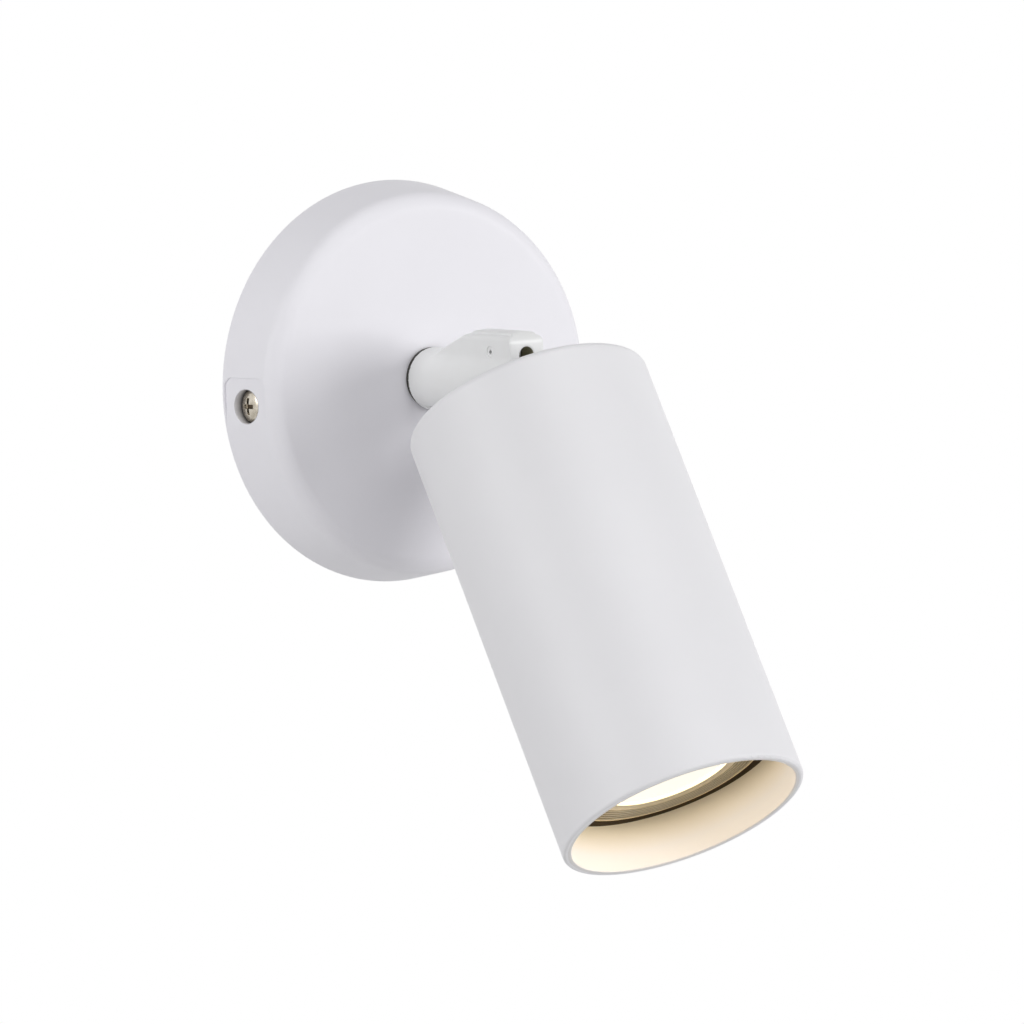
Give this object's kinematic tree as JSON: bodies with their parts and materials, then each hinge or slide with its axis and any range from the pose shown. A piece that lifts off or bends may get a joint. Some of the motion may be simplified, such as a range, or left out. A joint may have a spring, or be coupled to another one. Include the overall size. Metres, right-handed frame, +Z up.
{
  "type": "wall spotlight",
  "caption": "White wall spotlight: round canopy, turning stem with a tilting knuckle, and a tubular head with a recessed warm lamp.",
  "frame": {"origin": "middle of the canopy's open back on the wall, between the two wall screws", "axes": "+Y into the wall, -Y out towards the room, +Z up, +X to the right as seen from the room"},
  "size_m": [0.1, 0.145, 0.1648],
  "materials": {
    "white_paint": "satin white powder coat with a fine even texture, on aluminium and steel",
    "knuckle_paint": "smoother neutral white paint on a cast knuckle",
    "nickel": "nickel-plated screw heads",
    "zinc_steel": "zinc-plated pressed steel",
    "brass": "plain turned or pressed brass",
    "nylon": "natural moulded nylon",
    "black_fibre": "dark fibre washer",
    "sleeve": "woven sleeving over the leads",
    "lead_insulation": "silicone insulation, one core brown, one blue and one green and yellow",
    "steatite": "unglazed white ceramic",
    "lamp_plastic": "white moulded lamp body",
    "circuit_board": "green circuit board",
    "board_white": "white coated metal board",
    "bezel": "ribbed metallised ring round the lens, bronze in the lamp's own light",
    "opal_lens": "frosted lens, lit warm white"
  },
  "bodies": {
    "root": {"canopy": "white_paint", "wall_strap": "zinc_steel", "side_screws": "nickel", "terminal_block": "nylon", "terminal_poles": "brass", "terminal_screws": "zinc_steel", "terminal_fixings": "zinc_steel", "earth_screw": "brass", "canopy_leads": "lead_insulation"},
    "arm": {"stem_washer": "black_fibre", "knuckle_stem": "knuckle_paint", "stem_nipple": "zinc_steel", "inner_washer": "black_fibre", "stop_washer": "zinc_steel", "spring_washer": "zinc_steel", "swivel_nut": "zinc_steel", "tilt_pin": "knuckle_paint", "tilt_washers": "zinc_steel", "stem_sleeve": "sleeve", "knuckle_sleeve": "sleeve"},
    "head": {"head_hinge": "knuckle_paint", "head_shell": "white_paint", "mouth_ring": "white_paint", "holder_bracket": "zinc_steel", "earth_tag": "brass", "lock_washer": "zinc_steel", "head_nut": "zinc_steel", "head_sleeve": "sleeve", "head_leads": "lead_insulation", "holder_back": "steatite", "holder_body": "steatite", "holder_contacts": "brass", "holder_screws": "zinc_steel", "lamp_base": "lamp_plastic", "lamp_pins": "brass", "lamp_housing": "lamp_plastic", "lamp_driver": "circuit_board", "led_board": "board_white", "lamp_bezel": "bezel", "lamp_lens": "opal_lens"}
  },
  "joints": [
    {"name": "stem_swivel", "type": "hinge", "parent": "root", "child": "arm", "pos_m": [0, 0, 0.0014], "axis": [0, 1, 0], "range_deg": [-165, 165]},
    {"name": "head_tilt", "type": "hinge", "parent": "arm", "child": "head", "pos_m": [0, -0.0507, 0.0095], "axis": [1, 0, 0], "range_deg": [-57.5, 32.5], "deforming": ["knuckle_sleeve"]}
  ]
}
